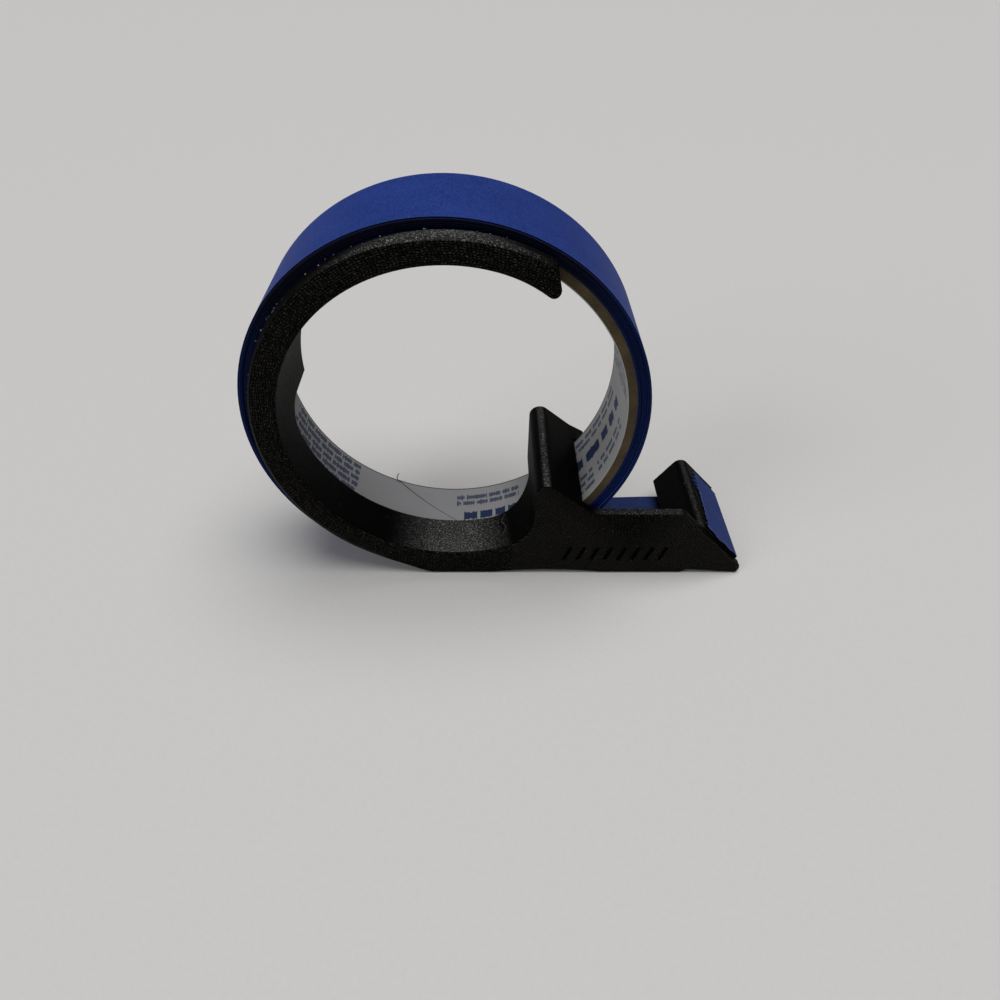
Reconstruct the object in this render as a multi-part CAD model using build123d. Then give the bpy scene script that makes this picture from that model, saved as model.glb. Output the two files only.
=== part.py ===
from build123d import *
from math import acos, atan2, cos, degrees, hypot, radians, sin, sqrt
import os

# Masking tape dispenser, in millimetres. It is drawn about the axis of the roll, which runs
# along +Y from the side wall to the open back, with +Z up. At the end every piece is moved so
# that the origin lies under the middle of the part, on the surface that it stands on.
# Outlines are front views, so their points are (x, z) pairs.

# Roll of tape, nearly used up
core_bore = 76.2           # a 3 inch core, measured inside its paper liner
liner_paper = 0.3
glue_line = 0.05
core_wall = 1.95
core_recess = 0.6          # how far the core's ends lie inside the tape's sides
tape_width = 24.0
tape_build = 2.8           # thickness of tape that is left on the core
strip_thickness = 0.25
ledge_step = 0.2           # turns that stand back from the tape's flat sides
ledge_width = 0.45
ledge_place_shares = (0.3, 0.62)      # of the tape that is left
turn_quarters = 4

# Fit of the roll in the frame
hub_play = 0.2             # least gap between the hub and the liner
side_gap = 0.25            # between the side wall and the roll
floor_gap = 0.15           # between the roll and the surface that the wall stands on
lip_play = 0.3             # between the roll and the lips behind it

# Ring of the frame, whose middle lies a little off the roll's axis
ring_shift = 0.75
ring_drop = 0.68
hub_wall = 0.95
hub_depth = 9.35           # how far the hub stands behind the side wall's back
flange_height = 4.81       # from the hub's outside to the ring's rim
wall_thickness = 2.4
rim_chamfer = 0.4

# Where the spring arm starts and how its open end is cut
arm_root_angle = 195.0
arm_end_share = 0.49       # of the rim's radius, where the end cut meets the rim
arm_end_lean = 12.0
arm_tip_radius = 1.4
arm_corner_radius = 1.0

# Clip tongue on the spring arm
tongue_low_angle = 183.7
tongue_high_angle = 153.0
tongue_lip = 1.3
tongue_lip_reach = 1.0     # how far this lip hooks out past the bore
tongue_root_radius = 6.5

# Finger rest, a fin across the whole depth with a lip at its back
fin_left_share = 0.52      # of the hub's inner radius, to the right of the ring's middle
fin_top_share = 0.348      # of the hub's inner radius, below the ring's middle
fin_slope = 39.0
fin_ridge_radius = 2.6
fin_root_radius = 9.0
fin_gusset_radius = 10.5
fin_foot_radius = 7.0
fin_lip = 5.6
fin_lip_reach = 3.1        # how far this lip hooks out past the bore
fin_lip_low_angle = -53.0
fin_lip_high_angle = -35.3

# Side wall: foot, top and nose
wall_height = 18.95
heel_angle = 247.0         # where the straight heel leaves the ring's rim
heel_radius = 6.0
hollow_rise = 0.9          # shallow arch in the wall's underside
hollow_shares = (0.195, 0.55)         # of the foot's length, from the heel
toe_rise = 0.9             # small step under the nose bar
toe_shares = (0.81, 0.826, 0.968)
nose_slope = 46.2
nose_run = 1.6             # how far the wall's tip reaches past the teeth along the slope
nose_top_radius = 3.0
nose_tip_radius = 1.2

# Plain slanted grooves in the side wall
groove_count = 8
groove_pitch = 3.3
groove_length = 4.9
groove_width = 1.0
groove_depth = 0.5
groove_lean = 20.0
groove_rise = 6.5          # of the grooves' middle above the foot
groove_end_gap = 19.9      # from the last groove to the wall's tip

# Nose bar with its row of teeth
finger_gap = 9.7           # between the roll and the bar's left foot
bar_foot_width = 17.2
bar_proud = 0.6            # how far the bar's sloping face stands above the wall's
bar_foot_drop = 1.7
bar_face = 15.2            # length of the sloping face, from the teeth to the ridge
bar_depth = 25.9
bar_ridge_radius = 2.2
bar_foot_radius = 0.8
tooth_rise = 3.55          # of the points above the foot
tooth_pitch = 1.9
tooth_height = 1.5
tooth_flat = 0.2           # width that is left at each point

# Strip of tape from the roll to the nose
strip_drift = 0.2          # how far the strip lies behind the roll's side
peel_gap = 0.3             # between the roll and the free end of the strip
fold_radius = 0.5
fold_run = 1.35            # from the teeth down to the corner that the fold rounds
stuck_length = 11.8        # how far the strip climbs the bar's sloping face
torn_pitch = 1.75
torn_height = 1.0

overrun = 3.0              # how far a cutting shape stands past what it cuts

# Radii of the roll
liner_inner = core_bore / 2
liner_outer = liner_inner + liner_paper
core_inner = liner_outer + glue_line
core_outer = core_inner + core_wall
winding_inner = core_outer + glue_line
winding_outer = winding_inner + tape_build

# Radii and places of the frame
ring_x = ring_shift
ring_z = -ring_drop
hub_outer = liner_inner - hub_play - hypot(ring_shift, ring_drop)
hub_inner = hub_outer - hub_wall
ring_outer = hub_outer + flange_height
floor_z = -(winding_outer + floor_gap)
wall_back = -side_gap
wall_front = wall_back - wall_thickness
hub_back = wall_back + hub_depth
lip_front = tape_width + lip_play
tongue_back = lip_front + tongue_lip
fin_back = lip_front + fin_lip

# Lines of the nose: the points of the teeth, the wall's tip and the top corner
slope_x = cos(radians(nose_slope))
slope_z = sin(radians(nose_slope))
teeth_x = winding_outer + finger_gap + bar_foot_width
teeth_z = floor_z + tooth_rise
nose_x = teeth_x + nose_run * slope_x - bar_proud * slope_z
nose_z = teeth_z - nose_run * slope_z - bar_proud * slope_x
top_z = floor_z + wall_height
top_x = nose_x - (top_z - nose_z) * slope_x / slope_z

# Corners of the finger rest, and the angle at which its slope leaves the hub's inner circle
rest_x = cos(radians(fin_slope))
rest_z = sin(radians(fin_slope))
fin_x = ring_x + fin_left_share * hub_inner
fin_z = ring_z - fin_top_share * hub_inner
fin_foot_x = fin_x + (fin_z - top_z) * rest_x / rest_z
fin_middle = (fin_x + fin_foot_x) / 2, (fin_z + top_z) / 2
fin_line_share = fin_left_share * rest_z - fin_top_share * rest_x
fin_leave_angle = 90 - fin_slope - degrees(acos(fin_line_share))

# The heel's straight line leaves the rim at right angles to its radius
rim_heel_x = ring_x + ring_outer * cos(radians(heel_angle))
rim_heel_z = ring_z + ring_outer * sin(radians(heel_angle))
heel_x = rim_heel_x + (floor_z - rim_heel_z) * sin(radians(heel_angle)) / -cos(radians(heel_angle))


def front_plane(depth):
    return Plane(origin=(0, depth, 0), x_dir=(1, 0, 0), z_dir=(0, -1, 0))


def slab(face, front, back):
    """A front-view outline made solid between two depths."""
    return extrude(front_plane(back) * face, amount=back - front)


def on_ring(radius, angle):
    return ring_x + radius * cos(radians(angle)), ring_z + radius * sin(radians(angle))


def ring_disc(radius):
    return Pos(ring_x, ring_z) * Circle(radius)


def ring_pie(radius, start, stop):
    rim = CenterArc((ring_x, ring_z), radius, start, stop - start)
    return make_face([rim, Line((ring_x, ring_z), rim @ 0), Line(rim @ 1, (ring_x, ring_z))])


def ring_band(inner, outer, start, stop):
    return ring_pie(outer, start, stop) - ring_disc(inner)


def patch(*points):
    return make_face(Polyline(*points, close=True))


def round_corner(face, x, z, radius):
    """Round the corner of an outline that lies nearest to a point."""
    corner = face.vertices().sort_by_distance((x, z, 0))[0]
    return fillet(corner, radius)


def on_arm_root(edge):
    """True for an edge that lies in the cut between the frame and its spring arm."""
    middle = edge.center()
    angle = degrees(atan2(middle.Z - ring_z, middle.X - ring_x)) % 360
    return abs(angle - arm_root_angle) < 0.1


def chamfer_front(solid):
    """Break the edges of the front face, but not where frame and arm meet."""
    edges = solid.edges().filter_by_position(Axis.Y, wall_front, wall_front)
    return chamfer([edge for edge in edges if not on_arm_root(edge)], rim_chamfer)


def hub_outline():
    """Hub seen from the front: its lower arc, and the finger rest that grows out of it."""
    below = fin_x, floor_z
    fin = patch((fin_x, fin_z), (fin_foot_x, top_z), (fin_foot_x, floor_z), below)
    face = ring_band(hub_inner, hub_outer, arm_root_angle, 360 + fin_lip_low_angle)
    face = face + (fin & ring_disc(hub_outer))
    root_z = ring_z - sqrt(hub_inner ** 2 - (fin_x - ring_x) ** 2)
    face = round_corner(face, fin_x, root_z, fin_root_radius)
    return round_corner(face, fin_x, fin_z, fin_ridge_radius)


def foot_line(share):
    return heel_x + share * (nose_x - heel_x)


def wall_outline():
    """Side wall seen from the front: the ring's lower part, heel, foot, nose and top."""
    hollow_start, hollow_end = (foot_line(share) for share in hollow_shares)
    toe_start, toe_top, toe_end = (foot_line(share) for share in toe_shares)
    hollow_top = (hollow_start + hollow_end) / 2, floor_z + hollow_rise
    base = make_face([
        Line((ring_x, ring_z), (rim_heel_x, rim_heel_z)),
        Line((rim_heel_x, rim_heel_z), (heel_x, floor_z)),
        Line((heel_x, floor_z), (hollow_start, floor_z)),
        ThreePointArc((hollow_start, floor_z), hollow_top, (hollow_end, floor_z)),
        Line((hollow_end, floor_z), (toe_start, floor_z)),
        Line((toe_start, floor_z), (toe_top, floor_z + toe_rise)),
        Line((toe_top, floor_z + toe_rise), (toe_end, floor_z)),
        Line((toe_end, floor_z), (nose_x, floor_z)),
        Line((nose_x, floor_z), (nose_x, nose_z)),
        Line((nose_x, nose_z), (top_x, top_z)),
        Line((top_x, top_z), (fin_foot_x, top_z)),
        Line((fin_foot_x, top_z), fin_middle),
        Line(fin_middle, (ring_x, ring_z)),
    ])
    ring = ring_band(hub_inner, ring_outer, arm_root_angle, 360 + fin_lip_low_angle)
    face = ring + (base - ring_disc(hub_inner)) + hub_outline()
    face = round_corner(face, heel_x, floor_z, heel_radius)
    face = round_corner(face, top_x, top_z, nose_top_radius)
    face = round_corner(face, fin_foot_x, top_z, fin_foot_radius)
    return round_corner(face, nose_x, floor_z, nose_tip_radius)


def groove_field():
    """Row of slanted slots with round ends, standing just above the foot."""
    slots = Sketch()
    for index in range(groove_count):
        x = nose_x - groove_end_gap - index * groove_pitch
        slot = SlotOverall(groove_length, groove_width, rotation=90 - groove_lean)
        slots += Pos(x, floor_z + groove_rise) * slot
    return slab(slots, wall_front - overrun, wall_front + groove_depth)


def hub_and_fin():
    """Hub arc and finger rest, whose depth grows in a curve from the hub to the fin."""
    whole = slab(hub_outline(), wall_back, fin_back)
    plan = patch((-ring_outer, wall_back), (nose_x, wall_back), (nose_x, fin_back),
                 (fin_x, fin_back), (fin_x, hub_back), (-ring_outer, hub_back))
    plan = round_corner(plan, fin_x, hub_back, fin_gusset_radius)
    return whole & extrude(Plane.XY.offset(-ring_outer) * plan, amount=ring_outer + hub_outer)


def lip(outline, reach, back):
    """Lip that hooks out past the bore, behind the roll."""
    return slab((outline & Circle(liner_inner + reach)) - ring_disc(hub_inner), lip_front, back)


def fin_lip_outline():
    """Lip at the back of the finger rest, whose top runs on flatter than the fin's slope."""
    reach = liner_inner + fin_lip_reach
    high = radians(fin_lip_high_angle)
    start = on_ring(hub_inner, fin_leave_angle)
    tip = reach * cos(high), reach * sin(high)
    outline = ring_pie(ring_outer, 360 + fin_lip_low_angle, 360 + fin_leave_angle)
    return outline + patch(start, tip, on_ring(hub_outer, fin_lip_low_angle))


def tongue_hook():
    """Lip of the clip tongue, with its back edge sloped so that a roll rides over it."""
    outline = ring_pie(ring_outer, tongue_high_angle, tongue_low_angle)
    solid = lip(outline, tongue_lip_reach, tongue_back)
    edges = solid.edges().filter_by_position(Axis.Y, tongue_back, tongue_back)
    outer = edges.sort_by(lambda edge: hypot(edge.center().X, edge.center().Z))[-1]
    return chamfer(outer, tongue_lip_reach)


def slope_plane():
    """Plane of the nose's sloping face: x runs down to the teeth, y runs to the back."""
    return Plane(origin=(teeth_x, 0, teeth_z), x_dir=(slope_x, 0, -slope_z),
                 z_dir=(slope_z, 0, slope_x))


def tooth_notches(edge, front, back, pitch, height):
    """Notches side by side along an edge of the sloping face, cut square to that face."""
    notches = Sketch()
    count = round((back - front) / pitch)
    width = (back - front) / count
    for index in range(count):
        start = front + index * width
        notches += patch((edge, start + tooth_flat / 2), (edge - height, start + width / 2),
                         (edge, start + width - tooth_flat / 2))
    return extrude(slope_plane() * notches, amount=overrun, both=True)


def nose_bar():
    """Roof-shaped bar behind the nose, with a saw edge where its face meets its underside."""
    foot = teeth_x - bar_foot_width, teeth_z + bar_foot_drop
    ridge = teeth_x - bar_face * slope_x, teeth_z + bar_face * slope_z
    face = patch(foot, (teeth_x, teeth_z), ridge)
    face = round_corner(face, *foot, bar_foot_radius)
    face = round_corner(face, *ridge, bar_ridge_radius)
    bar = slab(face, wall_back, bar_depth)
    return bar - tooth_notches(0, strip_drift, bar_depth, tooth_pitch, tooth_height)


def frame():
    """Fixed part of the print: side wall, hub, finger rest and nose bar."""
    wall = chamfer_front(slab(wall_outline(), wall_front, wall_back)) - groove_field()
    hook = lip(fin_lip_outline(), fin_lip_reach, fin_back)
    return wall + hub_and_fin() + hook + nose_bar()


def arm_outline():
    """Spring arm seen from the front, from its root on the frame to its open end."""
    rim_x = ring_x + arm_end_share * ring_outer
    rim_z = ring_z + sqrt(ring_outer ** 2 - (rim_x - ring_x) ** 2)
    lean = sin(radians(arm_end_lean)) / cos(radians(arm_end_lean))
    low, high, far = ring_z - overrun, rim_z + overrun, ring_x + ring_outer + overrun
    beyond = patch((rim_x + (rim_z - low) * lean, low), (rim_x - overrun * lean, high),
                   (far, high), (far, low))
    face = ring_band(hub_inner, ring_outer, 0, arm_root_angle) - beyond
    inner_z = rim_z - (ring_outer - hub_inner)
    face = round_corner(face, rim_x + (rim_z - inner_z) * lean, inner_z, arm_tip_radius)
    return round_corner(face, rim_x, rim_z, arm_corner_radius)


def arm_hub():
    """Hub on the arm, which grows into the clip tongue at the left of the roll."""
    whole = slab(arm_outline() & ring_disc(hub_outer), wall_back, tongue_back)
    low = on_ring(hub_outer, tongue_low_angle)[1]
    high = on_ring(hub_outer, tongue_high_angle)[1]
    side = patch((wall_back, -ring_outer), (hub_back, -ring_outer), (hub_back, low),
                 (tongue_back, low), (tongue_back, high), (hub_back, high),
                 (hub_back, ring_outer), (wall_back, ring_outer))
    side = round_corner(side, hub_back, low, tongue_root_radius)
    side = round_corner(side, hub_back, high, tongue_root_radius)
    return whole & extrude(Plane.YZ * side, amount=ring_outer, both=True)


def spring_arm():
    """Open half of the ring, which bends inwards, with its hub, tongue and lip."""
    flange = chamfer_front(slab(arm_outline(), wall_front, wall_back))
    return flange + arm_hub() + tongue_hook()


def roll_ring(inner, outer, inset):
    return slab(Circle(outer) - Circle(inner), inset, tape_width - inset)


def quarter_turn(quarter):
    """One quarter of the outermost turn, which sinks by one strip over the whole turn."""
    def place(share):
        angle = radians(-90 - 90 * share)
        radius = winding_outer - strip_thickness * share / turn_quarters
        return radius * cos(angle), radius * sin(angle)
    return ThreePointArc(place(quarter), place(quarter + 0.5), place(quarter + 1))


def tape_winding():
    """Tape left on the core, ending in a step where the strip leaves at the bottom."""
    turns = [quarter_turn(quarter) for quarter in range(turn_quarters)]
    face = make_face(turns + [Line(turns[-1] @ 1, turns[0] @ 0)]) - Circle(winding_inner)
    solid = slab(face, 0, tape_width)
    for share in ledge_place_shares:
        middle = winding_inner + share * tape_build
        ledge = Circle(middle + ledge_width / 2) - Circle(middle - ledge_width / 2)
        solid -= slab(ledge, -overrun, ledge_step)
        solid -= slab(ledge, tape_width - ledge_step, tape_width + overrun)
    return solid


def strip_line():
    """Middle line of the strip: off the roll, round the teeth and up the sloping face."""
    half = strip_thickness / 2
    face_x = teeth_x + half * slope_z
    face_z = teeth_z + half * slope_x
    corner = face_x + fold_run * slope_x, face_z - fold_run * slope_z
    end = face_x - stuck_length * slope_x, face_z + stuck_length * slope_z
    middle = winding_outer - half
    reach = hypot(*corner)
    angle = atan2(corner[1], corner[0]) - acos(middle / reach)
    tangent = middle * cos(angle), middle * sin(angle)
    free = sqrt((winding_outer + peel_gap + half) ** 2 - middle ** 2)
    share = free / hypot(corner[0] - tangent[0], corner[1] - tangent[1])
    start = (tangent[0] + share * (corner[0] - tangent[0]),
             tangent[1] + share * (corner[1] - tangent[1]))
    return FilletPolyline(start, corner, end, radius=fold_radius + half)


def tape_lead():
    """Strip of tape pulled off the roll, folded over the teeth and torn off in a zigzag."""
    strip = slab(trace(strip_line(), strip_thickness), strip_drift, strip_drift + tape_width)
    return strip - tooth_notches(-stuck_length, strip_drift, strip_drift + tape_width,
                                 torn_pitch, -torn_height)


def save(name, solid):
    """Move a finished piece into the part's own frame and write it."""
    left_reach = winding_outer - strip_thickness / turn_quarters
    middle_x = (nose_x - left_reach) / 2
    middle_y = (wall_front + fin_back) / 2
    piece = Pos(-middle_x, -middle_y, -floor_z) * solid
    piece.label = name
    export_step(piece, f"parts/{name}.step")


os.makedirs("parts", exist_ok=True)
save("frame", frame())
save("spring_arm", spring_arm())
save("core_liner", roll_ring(liner_inner, liner_outer, core_recess))
save("cardboard_core", roll_ring(core_inner, core_outer, core_recess))
save("tape_winding", tape_winding())
save("tape_lead", tape_lead())
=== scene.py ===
import math

import bmesh
import bpy
import numpy as np
from mathutils import Matrix, Vector


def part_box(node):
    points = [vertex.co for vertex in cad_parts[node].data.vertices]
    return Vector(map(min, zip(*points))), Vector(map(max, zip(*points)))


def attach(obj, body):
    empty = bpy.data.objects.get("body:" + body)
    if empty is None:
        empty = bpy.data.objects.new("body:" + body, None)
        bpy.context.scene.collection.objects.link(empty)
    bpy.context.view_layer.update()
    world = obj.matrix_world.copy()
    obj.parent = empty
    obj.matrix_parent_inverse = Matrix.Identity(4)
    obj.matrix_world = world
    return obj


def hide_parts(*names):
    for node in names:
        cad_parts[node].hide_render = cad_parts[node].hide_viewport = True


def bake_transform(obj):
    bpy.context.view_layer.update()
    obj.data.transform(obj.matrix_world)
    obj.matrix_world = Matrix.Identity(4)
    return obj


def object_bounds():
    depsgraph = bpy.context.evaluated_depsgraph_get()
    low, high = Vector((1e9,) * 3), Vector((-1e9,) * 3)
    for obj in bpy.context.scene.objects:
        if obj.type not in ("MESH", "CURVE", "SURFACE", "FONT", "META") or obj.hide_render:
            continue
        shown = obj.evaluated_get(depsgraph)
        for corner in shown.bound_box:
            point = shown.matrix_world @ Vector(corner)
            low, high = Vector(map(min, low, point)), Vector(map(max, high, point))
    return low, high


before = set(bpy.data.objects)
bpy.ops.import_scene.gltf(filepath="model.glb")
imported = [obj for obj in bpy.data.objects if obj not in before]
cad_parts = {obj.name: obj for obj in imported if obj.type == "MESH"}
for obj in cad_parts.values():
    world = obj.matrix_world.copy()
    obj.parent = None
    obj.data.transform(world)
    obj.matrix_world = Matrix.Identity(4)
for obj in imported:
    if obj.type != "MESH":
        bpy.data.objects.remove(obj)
cad_low, cad_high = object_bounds()

# The printed dispenser: side wall, hub, finger rest, nose bar and spring arm in one piece.
# Black filament with a satin face, laid down in layers from the wall's front to the open back.
# The spring arm is one with the rest and bends near its root, so one mesh crosses the joint.
mm = 0.001
roll_low, roll_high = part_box("core_liner")
roll_middle = Vector(((roll_low.x + roll_high.x) / 2, 0, (roll_low.z + roll_high.z) / 2))
wall_front = cad_low.y
wall_back = wall_front + 2.4 * mm
ring_middle = roll_middle + Vector((0.75 * mm, 0, -0.68 * mm))
hub_inner = 35.94 * mm
ring_outer = 41.7 * mm
arm_root_angle = math.radians(195)
edge_break = 0.14 * mm
rim_from, rim_until = 25, 250
wall_slot, front_slot, edge_slot, lint_slot = range(4)


def feed(tree, node, inputs):
    """Set the inputs of a node, each a value or a socket."""
    for name, value in inputs.items():
        if isinstance(value, bpy.types.NodeSocket):
            tree.links.new(value, node.inputs[name])
        else:
            node.inputs[name].default_value = value


def put(tree, kind, inputs=None, **settings):
    """Add a node: settings are its properties."""
    made = tree.nodes.new(kind)
    for name, value in settings.items():
        setattr(made, name, value)
    feed(tree, made, inputs or {})
    return made


def calc(tree, operation, first, second=0.0, third=0.0):
    """One sum in a node tree."""
    inputs = {0: first, 1: second, 2: third}
    return put(tree, "ShaderNodeMath", inputs, operation=operation).outputs[0]


def times(tree, first, second):
    return calc(tree, "MULTIPLY", first, second)


def square(tree, value):
    return times(tree, value, value)


def parts_of(tree, vector):
    return put(tree, "ShaderNodeSeparateXYZ", {0: vector}).outputs


def from_axis(tree, place, middle):
    """Place round an axis along the depth: how far to the right, how far up, how far off."""
    parts = parts_of(tree, place)
    x = calc(tree, "SUBTRACT", parts["X"], middle.x)
    z = calc(tree, "SUBTRACT", parts["Z"], middle.z)
    return x, z, calc(tree, "SQRT", calc(tree, "ADD", square(tree, x), square(tree, z)))


def ramp(tree, value, low, high, first=0.0, last=1.0, **settings):
    """Number that goes from the first to the last as the value goes from low to high."""
    inputs = {"Value": value, 1: low, 2: high, 3: first, 4: last}
    return put(tree, "ShaderNodeMapRange", inputs, **settings).outputs[0]


def noise(tree, place, scale, detail=2.0, roughness=0.5, distortion=0.0):
    """Noise in space: first as a number, then as a colour."""
    return put(tree, "ShaderNodeTexNoise", {
        "Vector": place, "Scale": scale, "Detail": detail, "Roughness": roughness,
        "Distortion": distortion}).outputs


def noise_along(tree, place, detail, scale=1.0):
    """Noise along one line."""
    return put(tree, "ShaderNodeTexNoise", {"W": place, "Scale": scale, "Detail": detail},
               noise_dimensions="1D").outputs[0]


def blend_colors(tree, share, first, second):
    """Colour that goes from the first to the second as the share goes from 0 to 1."""
    ends = [value if isinstance(value, bpy.types.NodeSocket) else (*value, 1)
            for value in (first, second)]
    inputs = {"Factor": share, 6: ends[0], 7: ends[1]}
    return put(tree, "ShaderNodeMix", inputs, data_type="RGBA").outputs[2]


def start_group(name, kind, ins, outs):
    """Empty node group with named sockets: its tree, its input node and its output node."""
    tree = bpy.data.node_groups.new(name, kind)
    for socket, sort, value in ins:
        made = tree.interface.new_socket(socket, in_out="INPUT", socket_type=sort)
        if value is not None:
            made.default_value = value
    for socket, sort in outs:
        tree.interface.new_socket(socket, in_out="OUTPUT", socket_type=sort)
    return tree, tree.nodes.new("NodeGroupInput"), tree.nodes.new("NodeGroupOutput")


def use_group(tree, group, inputs):
    return put(tree, "ShaderNodeGroup", inputs, node_tree=group)


def start_material(name):
    """Material with an empty Principled shader, and a socket with the piece's own place."""
    material = bpy.data.materials.new(name)
    material.use_nodes = True
    tree = material.node_tree
    tree.nodes.clear()
    shader = tree.nodes.new("ShaderNodeBsdfPrincipled")
    output = tree.nodes.new("ShaderNodeOutputMaterial")
    tree.links.new(shader.outputs[0], output.inputs["Surface"])
    place = tree.nodes.new("ShaderNodeTexCoord").outputs["Object"]
    return material, tree, shader, place


def raise_relief(tree, shader, height, depth, strength=1.0):
    """Relief of a material: where the height is 1 it stands up by the depth."""
    bump = put(tree, "ShaderNodeBump",
               {"Strength": strength, "Distance": depth, "Height": height})
    tree.links.new(bump.outputs[0], shader.inputs["Normal"])


def settled_dust():
    """Pale specks that settle on every surface: a small spot in few of many cells."""
    tree, start, end = start_group(
        "settled dust", "ShaderNodeTree",
        [("Place", "NodeSocketVector", None), ("Speck Size", "NodeSocketFloat", 0.5 * mm),
         ("Amount", "NodeSocketFloat", 0.5)],
        [("Mask", "NodeSocketFloat")])
    empty_share, spot_radius = 0.965, 0.16
    scale = calc(tree, "DIVIDE", 1.0, start.outputs["Speck Size"])
    cells = put(tree, "ShaderNodeTexVoronoi",
                {"Vector": start.outputs["Place"], "Scale": scale, "Randomness": 1.0})
    chance = put(tree, "ShaderNodeSeparateColor", {0: cells.outputs["Color"]}).outputs[0]
    rare = calc(tree, "GREATER_THAN", chance, empty_share)
    small = calc(tree, "LESS_THAN", cells.outputs["Distance"], spot_radius)
    specks = times(tree, rare, small)
    mask = times(tree, specks, start.outputs["Amount"])
    tree.links.new(mask, end.inputs["Mask"])
    return tree


def print_grain():
    """Layer lines across the depth of the print, with the fine grain of the filament."""
    tree, start, end = start_group(
        "print grain", "ShaderNodeTree",
        [("Place", "NodeSocketVector", None), ("Layer", "NodeSocketFloat", 0.2 * mm),
         ("Grain Size", "NodeSocketFloat", 0.3 * mm), ("Grain", "NodeSocketFloat", 0.5)],
        [("Height", "NodeSocketFloat"), ("Tone", "NodeSocketFloat")])
    place = start.outputs["Place"]
    turn = calc(tree, "DIVIDE", parts_of(tree, place)["Y"], start.outputs["Layer"])
    wave = calc(tree, "SINE", times(tree, turn, math.tau))
    uneven = noise_along(tree, times(tree, turn, 0.9), 1.0)
    scale = calc(tree, "DIVIDE", 1.0, start.outputs["Grain Size"])
    fine = noise(tree, place, scale, 3.0, 0.7)[0]
    broad = noise(tree, place, 90.0)[0]
    layers = times(tree, wave, times(tree, uneven, 0.3))
    grain = times(tree, fine, start.outputs["Grain"])
    tree.links.new(calc(tree, "ADD", layers, grain), end.inputs["Height"])
    spread = ramp(tree, fine, 0.47, 0.66)
    tone = calc(tree, "MULTIPLY_ADD", square(tree, spread), 0.85, times(tree, broad, 0.15))
    tree.links.new(tone, end.inputs["Tone"])
    return tree


dust = settled_dust()
grain = print_grain()
black = (0.0010, 0.00095, 0.0008)
dust_color = (0.42, 0.41, 0.39)


def finish_print(tree, shader, place, worn, pattern, depth, gloss, painted_highlight=None,
                 reach=(1.0, 1.0), scar=None):
    """Colour, gloss and relief of the print: worn is the paler colour of its raised grains,
    a painted glint where they catch the light, and the painted highlight is the colour that
    they take where a face looks up, as the light from above would make them shine. It fades
    as the face tilts to the right or the left, and the reach says how fast for each. To the
    right of the ring the painted highlight is weaker.
    A scar is a pair of masks: its dark line, and the pale line along its edge, which is a
    painted highlight."""
    laid = use_group(tree, grain, {"Place": place, "Layer": 0.2 * mm,
                                   "Grain Size": 0.34 * mm, "Grain": 0.85})
    specks = use_group(tree, dust, {"Place": place, "Speck Size": 1.1 * mm, "Amount": 0.12})
    tone, relief = laid.outputs["Tone"], laid.outputs["Height"]
    if pattern is not None:
        tone = times(tree, calc(tree, "MULTIPLY_ADD", tone, 0.7, 0.3), pattern)
        relief = calc(tree, "MULTIPLY_ADD", relief, 0.3, pattern)
    if painted_highlight is not None:
        # Painted highlight: where a face looks up its grains turn pale, less as it tilts and to
        # the right of the ring.
        facing = parts_of(tree, tree.nodes.new("ShaderNodeNewGeometry").outputs["Normal"])
        tilt = calc(tree, "MAXIMUM", times(tree, facing["X"], 1 / reach[0]),
                    times(tree, facing["X"], -1 / reach[1]))
        level = ramp(tree, tilt, 0.60, 0.05, interpolation_type="SMOOTHSTEP")
        up = ramp(tree, facing["Z"], 0.3, 0.7)
        shade = ramp(tree, parts_of(tree, place)["X"], ring_middle.x + 20 * mm,
                     ring_middle.x + 27 * mm, 1.0, 0.32)
        level = times(tree, times(tree, level, up), shade)
        worn = blend_colors(tree, level, worn, painted_highlight)
    # Grains in the worn colour: a painted glint of their raised tops.
    color = blend_colors(tree, tone, black, worn)
    color = blend_colors(tree, specks.outputs["Mask"], color, dust_color)
    if scar is not None:
        color = blend_colors(tree, scar[0], color, black)
        color = blend_colors(tree, scar[1], color, dust_color)
    rough = calc(tree, "MULTIPLY_ADD", laid.outputs["Tone"], 0.2, 0.42)
    feed(tree, shader, {"Base Color": color, "Roughness": rough, "Specular IOR Level": gloss})
    raise_relief(tree, shader, relief, depth)


def print_wall_material():
    """Faces along the depth, where the layers show as fine lines. Inside the hub's foot the
    nozzle left a short winding seam: a dark line, and a pale line along its right edge
    that is a painted highlight of the seam's raised bead."""
    material, tree, shader, place = start_material("black_print_layers")
    seam_right, seam_depth, seam_top = 11.5 * mm, 8.3 * mm, -30 * mm
    half_length, pitch, swing = 3.4 * mm, 5.4 * mm, 0.5 * mm
    dark_half, pale_off, pale_half = 0.24 * mm, 0.36 * mm, 0.10 * mm
    parts = parts_of(tree, place)
    wave = calc(tree, "SINE", times(tree, parts["Y"], math.tau / pitch))
    line = calc(tree, "MULTIPLY_ADD", wave, swing, ring_middle.x + seam_right)
    off = calc(tree, "SUBTRACT", parts["X"], line)
    low = calc(tree, "LESS_THAN", parts["Z"], ring_middle.z + seam_top)
    in_span = calc(tree, "COMPARE", parts["Y"], wall_front + seam_depth, half_length)
    on_hub = times(tree, low, in_span)
    dark = times(tree, on_hub, calc(tree, "COMPARE", off, 0.0, dark_half))
    # pale: a painted highlight along the seam's right edge.
    pale = times(tree, on_hub, calc(tree, "COMPARE", off, pale_off, pale_half))
    finish_print(tree, shader, place, (0.0045, 0.0043, 0.0040), None, 0.14 * mm, 0.012,
                 painted_highlight=(0.42, 0.416, 0.405), reach=(0.78, 0.80),
                 scar=(times(tree, dark, 0.92), times(tree, pale, 0.16)))
    return material


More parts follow.
